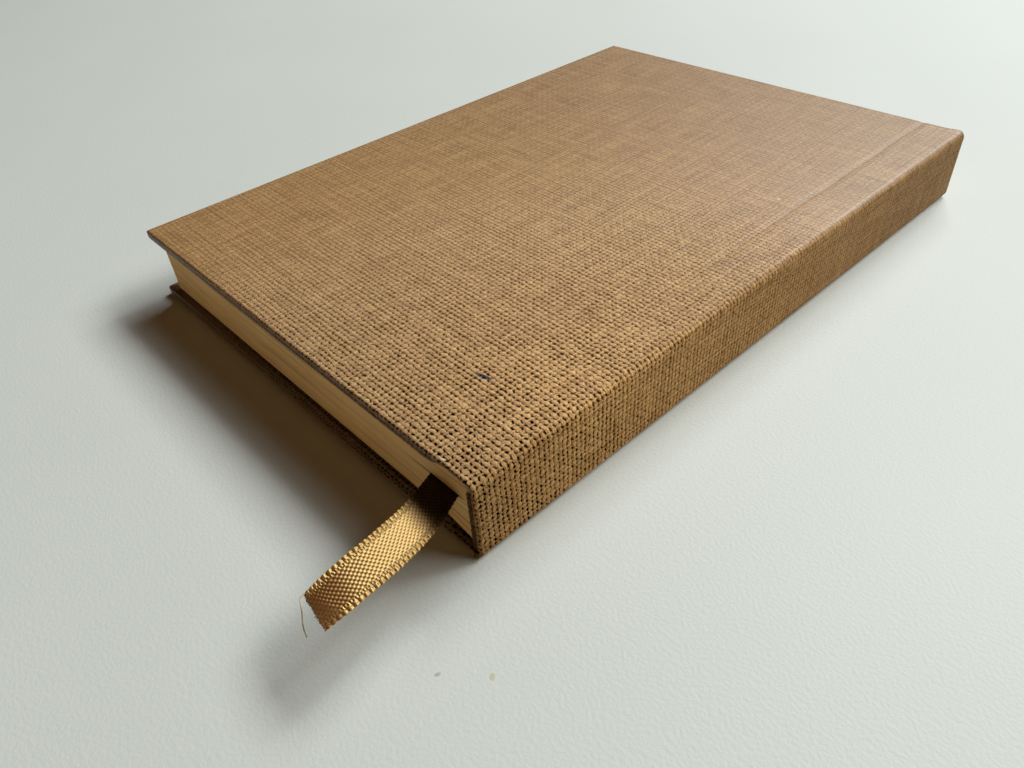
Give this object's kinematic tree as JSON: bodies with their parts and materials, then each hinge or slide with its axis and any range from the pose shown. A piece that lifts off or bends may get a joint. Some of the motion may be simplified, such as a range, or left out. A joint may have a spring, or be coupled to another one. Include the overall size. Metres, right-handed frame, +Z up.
{
  "type": "pocket journal",
  "caption": "Small hardcover notebook in coarse woven book cloth, with a flat spine, two covers that open, cream pages and a satin ribbon marker.",
  "frame": {"origin": "middle of the lower face of the closed book, which lies on its front cover; the ribbon isn't counted", "axes": "+X towards the spine, +Y towards the head, +Z up out of the back cover"},
  "size_m": [0.1065, 0.1746, 0.016],
  "materials": {
    "book_cloth": "matte",
    "grey_board": "matte",
    "endpaper": "matte",
    "page_paper": "matte",
    "lining": "matte",
    "satin_ribbon": "satin"
  },
  "bodies": {
    "book_block": {"pages": "page_paper", "back_flyleaf": "endpaper", "front_flyleaf": "endpaper", "spine_lining": "lining", "spine_board": "grey_board", "spine_cloth": "book_cloth", "ribbon": "satin_ribbon"},
    "back_cover": {"back_board": "grey_board", "back_cloth": "book_cloth", "back_pastedown": "endpaper"},
    "front_cover": {"front_board": "grey_board", "front_cloth": "book_cloth", "front_pastedown": "endpaper"}
  },
  "joints": [
    {"name": "back_cover_hinge", "type": "hinge", "parent": "book_block", "child": "back_cover", "pos_m": [0.04327, 0, 0.01615], "axis": [0, 1, 0], "range_deg": [0, 180]},
    {"name": "front_cover_hinge", "type": "hinge", "parent": "book_block", "child": "front_cover", "pos_m": [0.04327, 0, -0.00015], "axis": [0, -1, 0], "range_deg": [0, 180]}
  ]
}
